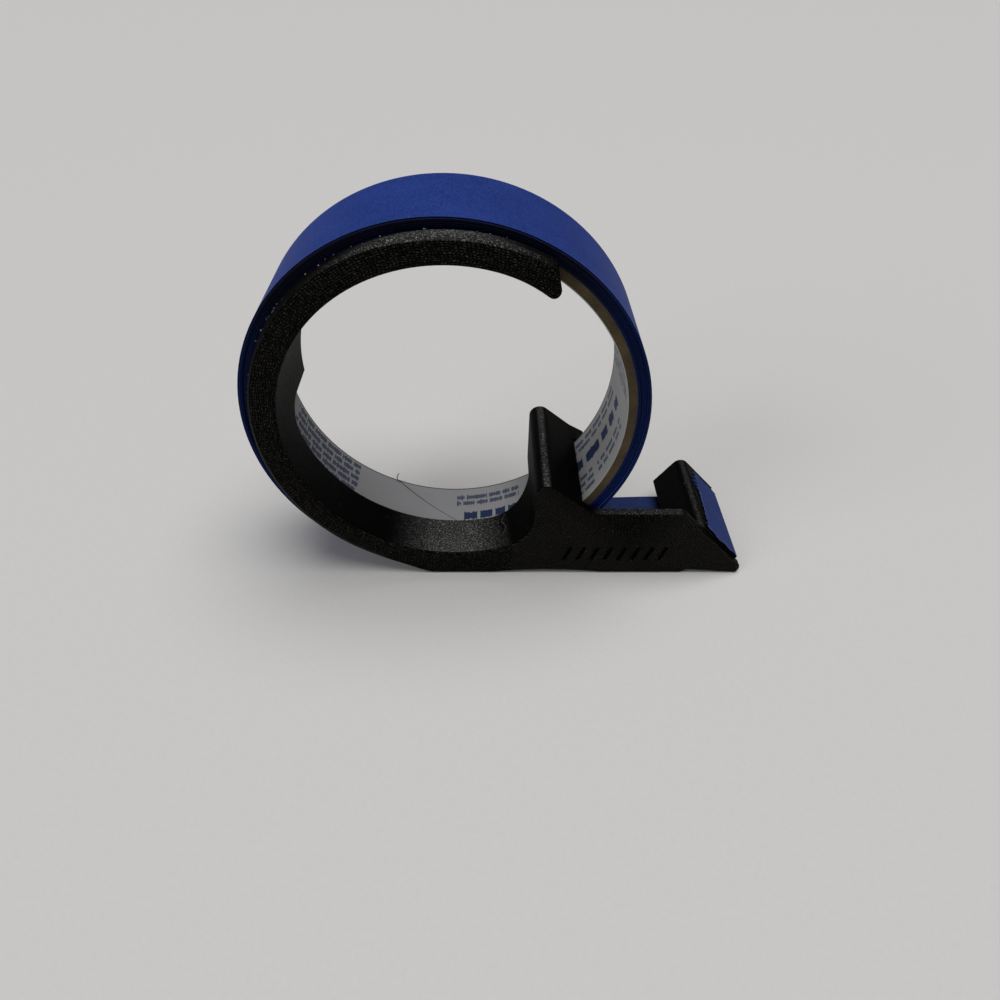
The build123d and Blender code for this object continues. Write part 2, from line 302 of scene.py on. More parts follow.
def print_edge_material():
    """Broken edges and the rough front rim of the ring, coloured paler as a painted highlight
    where they catch the light.
    """
    material, tree, shader, place = start_material("black_print_edges")
    finish_print(tree, shader, place, (0.014, 0.0136, 0.013), None, 0.16 * mm, 0.04,
                 painted_highlight=(0.34, 0.336, 0.33), reach=(0.62, 0.86))
    return material


def print_front_material():
    """Front faces: stitched rows round the ring, and ruled lines on the side wall. The raised
    stitches and beads are coloured pale: a painted glint on their tops.
    """
    material, tree, shader, place = start_material("black_print_front")
    wobble, row_pitch, stitch_pitch, bead_pitch = 0.8 * mm, 0.46 * mm, 0.76 * mm, 0.5 * mm
    mean_radius, slope = 39 * mm, math.radians(46)
    wall_left, wall_top = 14 * mm, -9 * mm
    ruled_span, arcs_span = (58 * mm, 67 * mm), (11 * mm, 2 * mm)
    groove_depth, groove_margin = 0.5 * mm, 0.15 * mm
    uneven = put(tree, "ShaderNodeVectorMath",
                 {0: noise(tree, place, 1 / (1.0 * mm), 1.0)["Color"], 1: (0.5, 0.5, 0.5)},
                 operation="SUBTRACT").outputs[0]
    moved = put(tree, "ShaderNodeVectorMath", {0: uneven, 1: (wobble,) * 3, 2: place},
                operation="MULTIPLY_ADD").outputs[0]
    parts = parts_of(tree, moved)
    x, z, radius = from_axis(tree, moved, ring_middle)
    around = times(tree, calc(tree, "ARCTAN2", z, x), mean_radius)

    def between(share, first, second):
        mix = put(tree, "ShaderNodeMix", {"Factor": share, "A": first, "B": second})
        return mix.outputs[0]

    def off_middle(place):
        """Square of how far a place is from the middle of its row or stitch."""
        return square(tree, calc(tree, "SUBTRACT", calc(tree, "FRACT", place), 0.5))

    def stitches(along, across):
        """Short raised dashes in rows, each row starting at a place of its own."""
        row_place = calc(tree, "DIVIDE", across, row_pitch)
        row = calc(tree, "FLOOR", row_place)
        start = put(tree, "ShaderNodeTexWhiteNoise", {"W": row},
                    noise_dimensions="1D").outputs["Value"]
        stitch_place = calc(tree, "ADD", calc(tree, "DIVIDE", along, stitch_pitch), start)
        spot = put(tree, "ShaderNodeCombineXYZ",
                   {0: calc(tree, "FLOOR", stitch_place), 1: row}).outputs[0]
        level = put(tree, "ShaderNodeTexWhiteNoise", {"Vector": spot},
                    noise_dimensions="2D").outputs["Value"]
        fall = times(tree, off_middle(row_place), 7.0)
        fall = calc(tree, "MULTIPLY_ADD", off_middle(stitch_place), 4.2, fall)
        crest = calc(tree, "MAXIMUM", calc(tree, "SUBTRACT", 1.0, fall), 0.0)
        return times(tree, crest, calc(tree, "MULTIPLY_ADD", level, 0.85, 0.15))

    def ruled(across):
        """Straight or round beads of filament."""
        turn = times(tree, across, math.tau / bead_pitch)
        return calc(tree, "MULTIPLY_ADD", calc(tree, "SINE", turn), 0.31, 0.19)

    diagonal = calc(tree, "ADD", times(tree, parts["X"], math.sin(slope)),
                    times(tree, parts["Z"], math.cos(slope)))
    on_wall = times(tree, calc(tree, "GREATER_THAN", x, wall_left),
                    calc(tree, "LESS_THAN", z, wall_top))
    ruled_from = ramp(tree, calc(tree, "SUBTRACT", x, times(tree, z, 0.5)), *ruled_span)
    arcs_until = ramp(tree, calc(tree, "ADD", x, z), *arcs_span)
    level_rows = times(tree, stitches(parts["X"], parts["Z"]), 0.48)
    wall = between(ruled_from, level_rows, ruled(diagonal))
    wall = between(arcs_until, wall, ruled(radius))
    whole = between(on_wall, stitches(around, radius), wall)
    # In the grooves the stitches and most of the relief are taken out, so their floors stay
    # plain black: a painted shade in the recesses.
    in_groove = calc(tree, "COMPARE", parts_of(tree, place)["Y"],
                     wall_front + groove_depth, groove_margin)
    pattern = times(tree, whole, calc(tree, "MULTIPLY_ADD", in_groove, -0.95, 1.0))
    finish_print(tree, shader, place, (0.092, 0.089, 0.077), pattern, 0.16 * mm, 0.015)
    return material


def pale_fleck_material():
    """Bits of pale lint that catch on the rough rim."""
    material, tree, shader, place = start_material("pale_lint")
    color = blend_colors(tree, noise(tree, place, 2500.0)[0], (0.10, 0.10, 0.10),
                         (0.34, 0.34, 0.33))
    feed(tree, shader, {"Base Color": color, "Roughness": 0.8})
    return material


def add_object(name, data):
    made = bpy.data.objects.new(name, data)
    bpy.context.scene.collection.objects.link(made)
    return made


def plain_mesh(made):
    """Mesh of an object as its modifiers or its curve make it."""
    evaluated = made.evaluated_get(bpy.context.evaluated_depsgraph_get())
    return bpy.data.meshes.new_from_object(evaluated)


def grow(tree, name, values):
    """Object whose plain mesh is what a Geometry Nodes tree makes of these inputs."""
    made = add_object(name, bpy.data.meshes.new(name))
    modifier = made.modifiers.new(name, "NODES")
    modifier.node_group = tree
    for item in tree.interface.items_tree:
        if item.in_out == "INPUT" and item.name in values:
            modifier[item.identifier] = values[item.name]
    mesh = plain_mesh(made)
    made.modifiers.remove(modifier)
    made.data = mesh
    return made


def spoke(angle):
    """Direction of one unit away from an axis along the depth."""
    return Vector((math.cos(angle), 0, math.sin(angle)))


def from_ring(point):
    """Offset of a point from the ring's axis, its distance, and its angle in degrees."""
    offset = point - ring_middle
    angle = math.degrees(math.atan2(offset.z, offset.x))
    return offset, math.hypot(offset.x, offset.z), angle


def round_rim(shape):
    """Front rim of the ring, worn rounder than a plain chamfer, most at top and foot."""
    for vert in shape.verts:
        place, radius, angle = from_ring(vert.co)
        angle %= 360
        near_rim = ring_outer - 0.5 * mm < radius < ring_outer + 0.05 * mm
        in_front = vert.co.y < wall_front + 0.5 * mm
        if not (rim_from < angle < rim_until and near_rim and in_front):
            continue
        fade = min(1.0, (angle - rim_from) / 20, (rim_until - angle) / 6)
        if radius > ring_outer - 0.1 * mm:
            vert.co.y += 0.35 * mm * fade
        else:
            top = math.exp(-((angle - 85) / 24) ** 2)
            foot = max(0.0, (angle - 165) / 75)
            cut = (0.12 + 0.55 * top + 0.85 * foot) * mm * fade
            vert.co.x -= place.x / radius * cut
            vert.co.z -= place.z / radius * cut


def draw_tip_inwards(shape):
    """The free end of the spring arm runs to a point, a little towards the ring's middle."""
    end_angle, start_angle, reach = 45, 74, 4 * mm
    for vert in shape.verts:
        place, radius, angle = from_ring(vert.co)
        if end_angle < angle < start_angle and radius < hub_inner + reach:
            fade = 1 - max(0.0, radius - hub_inner) / reach
            inwards = 0.6 * mm * fade * min(1.0, (start_angle - angle) / 20) ** 2
            onwards = 0.5 * mm * fade * max(0.0, min(1.0, (59 - angle) / 5))
            vert.co.x += -place.x / radius * inwards + place.z / radius * onwards
            vert.co.z += -place.z / radius * inwards - place.x / radius * onwards


def joined_print():
    """Frame and spring arm with their meeting faces taken out and their points joined."""
    along = spoke(arm_root_angle)
    across = Vector((-along.z, 0, along.x))
    near = 0.01 * mm
    shape = bmesh.new()
    for node in ("frame", "spring_arm"):
        shape.from_mesh(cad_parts[node].data)
    bmesh.ops.remove_doubles(shape, verts=shape.verts, dist=0.002 * mm)

    def in_cut(vert):
        place = vert.co - ring_middle
        return abs(place.dot(across)) < near and place.dot(along) > 0

    inside = [face for face in shape.faces if all(in_cut(vert) for vert in face.verts)]
    bmesh.ops.delete(shape, geom=inside, context="FACES_ONLY")
    bmesh.ops.dissolve_limit(shape, angle_limit=math.radians(0.2),
                             verts=shape.verts, edges=shape.edges)
    for face in shape.faces:
        _, radius, angle = from_ring(face.calc_center_median())
        on_rim = (abs(radius - ring_outer) < 0.35 * mm and face.normal.y < 0.3
                  and rim_from < angle % 360 < rim_until)
        plain_slot = front_slot if face.normal.y < -0.7 else wall_slot
        face.material_index = edge_slot if on_rim else plain_slot
    round_rim(shape)
    draw_tip_inwards(shape)
    mesh = bpy.data.meshes.new("printed_dispenser")
    shape.to_mesh(mesh)
    shape.free()
    return mesh


def rim_lint():
    """Tree that scatters flecks of lint along the front rim of the ring."""
    tree, start, end = start_group(
        "rim lint", "GeometryNodeTree",
        [("Radius", "NodeSocketFloat", ring_outer), ("Depth", "NodeSocketFloat", wall_front),
         ("Start", "NodeSocketFloat", 0.0), ("Sweep", "NodeSocketFloat", math.pi),
         ("Count", "NodeSocketInt", 20), ("Fleck", "NodeSocketFloat", 0.1 * mm),
         ("Seed", "NodeSocketInt", 0), ("Material", "NodeSocketMaterial", None)],
        [("Geometry", "NodeSocketGeometry")])
    get = start.outputs
    spots = 400

    def random_vector(low, high):
        return put(tree, "FunctionNodeRandomValue",
                   {"Min": low, "Max": high, "Seed": get["Seed"]},
                   data_type="FLOAT_VECTOR").outputs[0]

    rim = put(tree, "GeometryNodeCurveArc",
              {"Resolution": spots // 2, "Radius": get["Radius"], "Start Angle": get["Start"],
               "Sweep Angle": get["Sweep"]})
    points = put(tree, "GeometryNodeCurveToPoints", {"Curve": rim.outputs[0], "Count": spots})
    pick = put(tree, "FunctionNodeRandomValue",
               {"Probability": calc(tree, "DIVIDE", get["Count"], float(spots)),
                "Seed": calc(tree, "ADD", get["Seed"], 5)}, data_type="BOOLEAN")
    moved = put(tree, "GeometryNodeSetPosition",
                {"Geometry": points.outputs[0],
                 "Offset": random_vector((-0.2 * mm,) * 3, (0.25 * mm,) * 3)})
    fleck = put(tree, "GeometryNodeMeshIcoSphere", {"Radius": get["Fleck"], "Subdivisions": 1})
    flecks = put(tree, "GeometryNodeInstanceOnPoints",
                 {"Points": moved.outputs[0], "Selection": pick.outputs[3],
                  "Instance": fleck.outputs[0],
                  "Rotation": random_vector((0, 0, 0), (6.28, 6.28, 6.28)),
                  "Scale": random_vector((0.4, 0.4, 0.3), (1.9, 1.1, 0.6))})
    stood = put(tree, "GeometryNodeTransform", {
        "Geometry": flecks.outputs[0], "Rotation": (math.pi / 2, 0, 0),
        "Translation": put(tree, "ShaderNodeCombineXYZ", {
            0: ring_middle.x, 1: get["Depth"], 2: ring_middle.z}).outputs[0]})
    whole = put(tree, "GeometryNodeRealizeInstances", {0: stood.outputs[0]})
    painted = put(tree, "GeometryNodeSetMaterial",
                  {"Geometry": whole.outputs[0], "Material": get["Material"]})
    tree.links.new(painted.outputs[0], end.inputs[0])
    return tree


def finished_mesh(mesh, name):
    """Object with its sharp edges broken by a small bevel, as a plain mesh again."""
    made = add_object(name, mesh)
    bevel = made.modifiers.new("broken edges", "BEVEL")
    bevel.width = edge_break
    bevel.segments = 2
    bevel.limit_method = "ANGLE"
    bevel.angle_limit = math.radians(28)
    bevel.use_clamp_overlap = True
    bevel.material = edge_slot
    made.data = plain_mesh(made)
    made.modifiers.clear()
    return made


def face_outwards(mesh, weld=None):
    """Turn all faces outwards, after points nearer than the weld have become one."""
    shape = bmesh.new()
    shape.from_mesh(mesh)
    if weld is not None:
        bmesh.ops.remove_doubles(shape, verts=shape.verts, dist=weld)
    bmesh.ops.recalc_face_normals(shape, faces=shape.faces)
    shape.to_mesh(mesh)
    shape.free()


def join_mesh(mesh, added, slot=0):
    """Add the faces of a second mesh to the first, all in one material slot."""
    shape = bmesh.new()
    shape.from_mesh(mesh)
    own_faces = len(shape.faces)
    shape.from_mesh(added)
    shape.faces.ensure_lookup_table()
    for face in shape.faces[own_faces:]:
        face.material_index = slot
    shape.to_mesh(mesh)
    shape.free()


def smooth(piece, angle):
    """Smooth shading, apart from edges sharper than an angle in degrees."""
    piece.data.shade_smooth()
    piece.data.set_sharp_from_angle(angle=math.radians(angle))


printed = finished_mesh(joined_print(), "printed_dispenser")
lint = grow(rim_lint(), "lint", {
    "Radius": ring_outer + 0.15 * mm, "Depth": wall_back - 0.25 * mm,
    "Start": math.radians(70), "Sweep": math.radians(135), "Count": 46,
    "Fleck": 0.15 * mm, "Seed": 7})
join_mesh(printed.data, lint.data, lint_slot)
bpy.data.objects.remove(lint)
for material in (print_wall_material(), print_front_material(), print_edge_material(),
                 pale_fleck_material()):
    printed.data.materials.append(material)
smooth(printed, 30)
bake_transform(printed)
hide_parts("frame", "spring_arm")

# The core: a tube of grey-brown board, wound from plies and cut square, inside the tape.
# It is the CAD solid with a board finish. The cut ends show the plies as thin rings.
board_inner = 38.45 * mm
ply_thick = 0.39 * mm
glue_share = 0.09


def paper_fibre():
    """Fibres of paper and board: a mottled tone, with a relief of fine short fibres."""
    tree, start, end = start_group(
        "paper fibre", "ShaderNodeTree",
        [("Place", "NodeSocketVector", None), ("Fibre", "NodeSocketFloat", 0.4 * mm)],
        [("Height", "NodeSocketFloat"), ("Tone", "NodeSocketFloat")])
    place = start.outputs["Place"]
    scale = calc(tree, "DIVIDE", 1.0, start.outputs["Fibre"])
    fine = noise(tree, place, scale, 4.0, 0.65, 0.6)[0]
    broad = noise(tree, place, 140.0, 3.0)[0]
    tree.links.new(fine, end.inputs["Height"])
    tone = calc(tree, "MULTIPLY_ADD", fine, 0.45, times(tree, broad, 0.55))
    tree.links.new(tone, end.inputs["Tone"])
    return tree


fibre = paper_fibre()


def board_material():
    """Grey-brown board. Thin dark lines of glue part its plies."""
    material, tree, shader, place = start_material("wound_board")
    pulp = use_group(tree, fibre, {"Place": place, "Fibre": 0.25 * mm})
    _, _, radius = from_axis(tree, place, roll_middle)
    ply = calc(tree, "DIVIDE", calc(tree, "SUBTRACT", radius, board_inner), ply_thick)
    joint = calc(tree, "PINGPONG", ply, 0.5)
    dark = calc(tree, "LESS_THAN", joint, glue_share)
    mottle = ramp(tree, pulp.outputs["Tone"], 0.36, 0.64)
    color = blend_colors(tree, mottle, (0.018, 0.011, 0.002), (0.098, 0.067, 0.021))
    color = blend_colors(tree, times(tree, dark, 0.6), color, (0.05, 0.032, 0.018))
    feed(tree, shader, {"Base Color": color, "Roughness": 0.85})
    relief = calc(tree, "ADD", pulp.outputs["Height"], times(tree, joint, 0.8))
    raise_relief(tree, shader, relief, 0.12 * mm, 0.8)
    return material


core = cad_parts["cardboard_core"]
core.data.materials.clear()
core.data.materials.append(board_material())

# The liner: white paper printed with rows of navy dashes, glued inside the core.
# It is one strip wound at a slant, so its edge laps over itself in one slanting seam.
# A sliver of the edge has come loose at the back, where the seam ends.
liner_inner = (roll_high.z - roll_low.z) / 2 - 0.3 * mm
liner_outer = liner_inner + 0.3 * mm
lap_step = 0.1 * mm
lap_width = 4 * mm
seam_angle = math.radians(247)
seam_slant = math.radians(38)
liner_columns = 256
liner_rows = 30


def liner_mesh():
    """Closed shell whose columns run along the seam, with a step where the strip laps."""
    mesh = bpy.data.meshes.new("liner_paper")
    length = roll_high.y - roll_low.y
    lean = 1 / math.tan(seam_slant) / liner_inner
    inner, outer, places = [], [], []
    for column in range(liner_columns + 1):
        share = column / liner_columns
        lift = lap_step * min(1.0, share * math.tau * liner_inner / lap_width)
        for row in range(liner_rows + 1):
            down = length * row / liner_rows
            angle = seam_angle + math.tau * share + down * lean
            depth = roll_high.y - down
            places.append((angle / math.tau, (depth - roll_low.y) / length))
            away, back = spoke(angle), Vector((0, depth, 0))
            inner.append(roll_middle + away * (liner_inner + lift) + back)
            outer.append(roll_middle + away * liner_outer + back)
    offset = len(inner)
    wide = liner_rows + 1
    faces, corners = [], []

    def add(*indices):
        faces.append(indices)
        corners.extend(places[index % offset] for index in indices)

    for column in range(liner_columns):
        for row in range(liner_rows):
            a = column * wide + row
            b = a + wide
            add(a, b, b + 1, a + 1)
            add(offset + a, offset + a + 1, offset + b + 1, offset + b)
        a, b = column * wide, (column + 1) * wide
        add(a, offset + a, offset + b, b)
        a, b = a + liner_rows, b + liner_rows
        add(a, b, offset + b, offset + a)
    last = liner_columns * wide
    for row in range(liner_rows):
        add(last + row, row, row + 1, last + row + 1)
    mesh.from_pydata(inner + outer, [], faces)
    layer = mesh.uv_layers.new(name="paper")
    for loop, place in zip(layer.data, corners):
        loop.uv = place
    mesh.validate()
    face_outwards(mesh, 0.001 * mm)
    return mesh


def liner_material():
    """Paper with rows of navy dashes in blocks, and bare paper between the blocks. Places on
    the paper are in millimetres, up from the bore's right side and back from its front."""
    material, tree, shader, place = start_material("printed_liner")
    per_degree, paper_width = 0.665, 22.8
    small_bar = 2
    pulp = use_group(tree, fibre, {"Place": place, "Fibre": 0.35 * mm})
    around, across, _ = parts_of(tree, put(tree, "ShaderNodeUVMap", uv_map="paper").outputs[0])
    turned = times(tree, calc(tree, "FRACT", around), 360.0)
    length = times(tree, turned, per_degree)
    width = times(tree, across, paper_width)

    def inside(value, low, high):
        above = calc(tree, "GREATER_THAN", value, low)
        return times(tree, above, calc(tree, "LESS_THAN", value, high))

    def block(turn, depth, pitch, bar, word, gap):
        """Rows of dashes in one block: its span in degrees and its span across the paper,
        then the pitch and height of the rows, the typical dash and the gap after it."""
        small = bar < small_bar
        row_place = calc(tree, "DIVIDE", calc(tree, "SUBTRACT", width, depth[0]), pitch)
        row = calc(tree, "FLOOR", row_place)
        spot = calc(tree, "ADD", calc(tree, "DIVIDE", length, word), times(tree, row, 13.37))
        edge = put(tree, "ShaderNodeTexVoronoi", {"W": spot, "Scale": 1.0},
                   voronoi_dimensions="1D", feature="DISTANCE_TO_EDGE").outputs[0]
        ink = calc(tree, "GREATER_THAN", edge, gap / word / 2)
        jag = noise_along(tree, calc(tree, "ADD", times(tree, length, 3.4 / bar),
                                     times(tree, row, 7.7)), 2.0)
        uneven = (1.1 if small else 0.5) * bar / pitch
        half = calc(tree, "MULTIPLY_ADD", jag, uneven, 0.45 * bar / pitch - uneven / 2)
        off = calc(tree, "SUBTRACT", calc(tree, "FRACT", row_place), 0.5)
        off = calc(tree, "ABSOLUTE", off)
        ink = times(tree, ink, calc(tree, "LESS_THAN", off, half))
        ink = times(tree, ink, inside(turned, *turn))
        ink = times(tree, ink, 0.80 if small else 1.0)
        return times(tree, ink, inside(width, *depth))

    ink = 0.0
    for turn, depth, pitch, bar, word, gap in (
            ((196, 231), (1.4, 22.3), 2.3, 1.7, 4.2, 0.55),
            ((269, 292), (3.4, 8.0), 2.3, 1.6, 4.2, 0.55),
            ((274, 300), (9.6, 14.0), 4.4, 3.0, 5.0, 0.8),
            ((271, 296), (15.6, 20.2), 2.3, 1.6, 4.2, 0.55),
            ((312, 331), (1.4, 8.3), 2.3, 1.3, 3.4, 0.8),
            ((314, 356), (9.2, 15.6), 6.4, 3.8, 5.2, 1.4),
            ((316, 354), (16.6, 21.2), 2.3, 1.3, 3.8, 0.8),
            ((334, 354), (3.0, 7.6), 2.3, 1.3, 3.4, 0.8),
            ((4, 40), (2.0, 21.2), 2.1, 1.25, 3.6, 0.6),
            ((60, 96), (5.4, 17.4), 6.0, 3.9, 4.6, 1.0),
            ((116, 150), (2.0, 21.2), 2.4, 1.15, 3.0, 0.7)):
        ink = calc(tree, "MAXIMUM", ink, block(turn, depth, pitch, bar, word, gap))
    # The paper is coloured grey, darker than the white paper it is: a painted shade for the
    # inside of the roll.
    paper = blend_colors(tree, pulp.outputs["Tone"], (0.29, 0.29, 0.297), (0.39, 0.39, 0.397))
    rim = times(tree, calc(tree, "GREATER_THAN", across, 0.982), 0.75)
    paper = blend_colors(tree, rim, paper, (0.06, 0.055, 0.05))
    # Painted shadow: a dark line along the open seam, darker towards the back.
    seam_run = (roll_high.y - roll_low.y) / math.tan(seam_slant) / liner_inner / math.tau
    seam_place = calc(tree, "MULTIPLY_ADD", across, -seam_run, seam_angle / math.tau + seam_run)
    off = calc(tree, "PINGPONG", calc(tree, "SUBTRACT", around, seam_place), 0.5)
    painted_seam_shadow = calc(tree, "LESS_THAN", times(tree, off, math.tau * liner_inner), 0.2 * mm)
    painted_seam_shadow = times(tree, painted_seam_shadow, calc(tree, "POWER", across, 2.0))
    paper = blend_colors(tree, painted_seam_shadow, paper, (0.04, 0.038, 0.036))
    color = blend_colors(tree, times(tree, ink, 0.97), paper, (0.012, 0.028, 0.088))
    feed(tree, shader, {"Base Color": color, "Roughness": 0.62, "Specular IOR Level": 0.15})
    raise_relief(tree, shader, pulp.outputs["Height"], 0.05 * mm, 0.4)
    return material


def loose_sliver():
    """Thin curl of paper that stands up from the back rim at the end of the seam."""
    curve = bpy.data.curves.new("sliver", "CURVE")
    curve.dimensions = "3D"
    curve.bevel_depth = 0.12 * mm
    curve.bevel_resolution = 2
    curve.use_fill_caps = True
    start = (roll_middle + Vector((0, roll_high.y - 0.4 * mm, 0))
             + (liner_inner + 0.05 * mm) * spoke(seam_angle))
    line = curve.splines.new("NURBS")
    steps = ((0.3, -0.5, 0), (-0.1, -0.2, 0.4), (-0.3, 0.1, 1.1), (-0.1, 0.2, 1.7),
             (0.3, 0.3, 2.2))
    line.points.add(len(steps) - 1)
    for point, step in zip(line.points, steps):
        point.co = (*(start + Vector(step) * mm), 1)
    line.order_u = 3
    line.use_endpoint_u = True
    holder = add_object("sliver", curve)
    mesh = plain_mesh(holder)
    bpy.data.objects.remove(holder)
    return mesh


liner = add_object("printed_liner", liner_mesh())
join_mesh(liner.data, loose_sliver())
liner.data.materials.append(liner_material())
smooth(liner, 35)
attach(liner, "roll")
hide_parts("core_liner")

# The tape: blue crepe paper, some twenty turns, wound on the core by machine.
# Each turn is one strip's thickness further out and lies a hair to one side of the last,
# so the flat sides show fine rings. The outer turns stand forward and catch the light.
tape_low, tape_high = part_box("tape_winding")
tape_outer = roll_middle.z - tape_low.z
core_outer = 40.45 * mm
tape_turns = 21
turn_points = 150
tape_width = tape_high.y - tape_low.y


def crepe():
    """Crepe of the tape: fine cross wrinkles in a paper that is dyed unevenly."""
    tree, start, end = start_group(
        "crepe", "ShaderNodeTree",
        [("Place", "NodeSocketVector", None), ("Wrinkle", "NodeSocketFloat", 0.35 * mm)],
        [("Height", "NodeSocketFloat"), ("Tone", "NodeSocketFloat")])
    place = start.outputs["Place"]
    scale = calc(tree, "DIVIDE", 1.0, start.outputs["Wrinkle"])
    drawn = put(tree, "ShaderNodeVectorMath", {0: place, 1: (1, 0.35, 1)},
                operation="MULTIPLY").outputs[0]
    fine = noise(tree, drawn, scale, 4.0, 0.6)[0]
    broad = noise(tree, place, 110.0, 4.0, 0.6)[0]
    tree.links.new(fine, end.inputs["Height"])
    tone = calc(tree, "MULTIPLY_ADD", fine, 0.8, times(tree, broad, 0.2))
    tree.links.new(tone, end.inputs["Tone"])
    return tree


wrinkles = crepe()


def tape_material(name, dark, light, roughness, relief, gloss=0.04, ringed=False):
    """Dyed crepe paper. Where it is ringed, some turns show paler and a few show dark, and the
    top of the sides is painted near black: a painted shade under the outer turns and the
    flange, where a few paler turns stay as thin painted highlights."""
    material, tree, shader, place = start_material(name)
    paper = use_group(tree, wrinkles, {"Place": place, "Wrinkle": 0.3 * mm})
    specks = use_group(tree, dust, {"Place": place, "Speck Size": 1.6 * mm, "Amount": 0.05})
    tone = calc(tree, "MULTIPLY_ADD", paper.outputs["Tone"], 3.8, -1.4)
    if ringed:
        _, _, radius = from_axis(tree, place, roll_middle)
        ring_pitch, dark_rings = 0.27 * mm, ((41.0 * mm, 0.16 * mm), (42.15 * mm, 0.2 * mm))
        pale = noise_along(tree, calc(tree, "DIVIDE", radius, ring_pitch), 1.0)
        pale = ramp(tree, pale, 0.46, 0.66)
        tone = calc(tree, "MULTIPLY_ADD", pale, 0.9, times(tree, tone, 0.25))
        for middle, width in dark_rings:
            off = calc(tree, "ABSOLUTE", calc(tree, "SUBTRACT", radius, middle))
            tone = times(tree, tone, ramp(tree, off, 0.4 * width, width, 0.15))
    color = blend_colors(tree, tone, dark, light)
    if ringed:
        # Painted shade: the top of the sides turns near black, with a few pale turns kept as
        # thin painted highlights.
        x, z, _ = from_axis(tree, place, roll_middle - Vector((6 * mm, 0, 0)))
        off_top = calc(tree, "ABSOLUTE", calc(tree, "ARCTAN2", x, z))
        painted_top_shade = ramp(tree, off_top, math.radians(62), math.radians(44))
        thin = times(tree, calc(tree, "GREATER_THAN", pale, 0.8), 0.35)
        shaded_side_color = blend_colors(tree, thin, (0.0006, 0.0008, 0.003), (0.06, 0.06, 0.10))
        color = blend_colors(tree, times(tree, painted_top_shade, 0.9), color, shaded_side_color)
    color = blend_colors(tree, specks.outputs["Mask"], color, dust_color)
    feed(tree, shader, {"Base Color": color, "Roughness": roughness,
                        "Specular IOR Level": gloss})
    raise_relief(tree, shader, paper.outputs["Height"], relief)
    return material


tape_face = tape_material("blue_tape_face", (0.009, 0.027, 0.150), (0.022, 0.051, 0.262),
                          0.6, 0.05 * mm, gloss=0.10)
tape_edge = tape_material("blue_tape_edge", (0.0004, 0.0026, 0.020), (0.0065, 0.022, 0.112),
                          0.5, 0.03 * mm, ringed=True)
# The free strip's tape is coloured darker than the roll's face: a painted shade for its sloping
# run.
shaded_strip_tape = tape_material("blue_tape_single", (0.009, 0.022, 0.108), (0.026, 0.046, 0.180),
                            0.6, 0.05 * mm)
# Paler blue on the strip's cut and torn edges: partly loose fibres, partly a painted highlight
# along the edges.
tape_torn = tape_material("blue_tape_torn", (0.07, 0.11, 0.34), (0.17, 0.23, 0.52),
                          0.7, 0.03 * mm)
tape_glue = tape_material("blue_tape_glue", (0.014, 0.024, 0.075), (0.026, 0.040, 0.125),
                          0.35, 0.03 * mm)


def wound_tape():
    """Tree that winds a flat strip into a spiral, each turn a little to one side. The outer
    turns, from a share of them all, stand forward by one step."""
    tree, start, end = start_group(
        "wound tape", "GeometryNodeTree",
        [("Inner Radius", "NodeSocketFloat", core_outer), ("Turns", "NodeSocketInt", 24),
         ("Outer Radius", "NodeSocketFloat", tape_outer),
         ("Width", "NodeSocketFloat", tape_width), ("Side Drift", "NodeSocketFloat", 0.1 * mm),
         ("Outer Step", "NodeSocketFloat", 0.4 * mm), ("Seed", "NodeSocketFloat", 0.0),
         ("Face", "NodeSocketMaterial", None), ("Edge", "NodeSocketMaterial", None)],
        [("Geometry", "NodeSocketGeometry")])
    get = start.outputs
    inset, filled, outer_from, drift_pace = 0.73, 0.93, 0.70, 1.35
    build = calc(tree, "SUBTRACT", get["Outer Radius"], get["Inner Radius"])
    pitch = calc(tree, "DIVIDE", build, get["Turns"])
    half = times(tree, pitch, inset)
    spiral = put(tree, "GeometryNodeCurveSpiral", {
        "Reverse": True, "Resolution": turn_points, "Rotations": get["Turns"], "Height": 0.0,
        "Start Radius": calc(tree, "SUBTRACT", get["Inner Radius"], half),
        "End Radius": calc(tree, "SUBTRACT", get["Outer Radius"], half)})
    index = put(tree, "GeometryNodeInputIndex").outputs[0]
    turn = calc(tree, "DIVIDE", index, float(turn_points))
    drift = noise_along(tree, calc(tree, "ADD", turn, get["Seed"]), 2.0, drift_pace)
    aside = times(tree, calc(tree, "SUBTRACT", drift, 0.5), get["Side Drift"])
    outer = calc(tree, "GREATER_THAN", turn, times(tree, get["Turns"], outer_from))
    aside = calc(tree, "MULTIPLY_ADD", calc(tree, "SUBTRACT", outer, 0.5), get["Outer Step"],
                 times(tree, aside, 2.0))
    moved = put(tree, "GeometryNodeSetPosition", {
        "Geometry": spiral.outputs[0],
        "Offset": put(tree, "ShaderNodeCombineXYZ", {2: aside}).outputs[0]})
    flat = put(tree, "GeometryNodeSetCurveNormal", {0: moved.outputs[0]}, mode="Z_UP")
    strip = put(tree, "GeometryNodeCurvePrimitiveQuadrilateral", {
        "Width": times(tree, pitch, filled), "Height": get["Width"]})
    wound = put(tree, "GeometryNodeCurveToMesh", {
        "Curve": flat.outputs[0], "Profile Curve": strip.outputs[0], "Fill Caps": True})
    whole = put(tree, "GeometryNodeRealizeInstances", {0: wound.outputs[0]})
    painted = put(tree, "GeometryNodeSetMaterial",
                  {"Geometry": whole.outputs[0], "Material": get["Face"]})
    facing = parts_of(tree, put(tree, "GeometryNodeInputNormal").outputs[0])["Z"]
    sides = calc(tree, "GREATER_THAN", calc(tree, "ABSOLUTE", facing), 0.5)
    painted = put(tree, "GeometryNodeSetMaterial", {
        "Geometry": painted.outputs[0], "Selection": sides, "Material": get["Edge"]})
    tree.links.new(painted.outputs[0], end.inputs[0])
    return tree


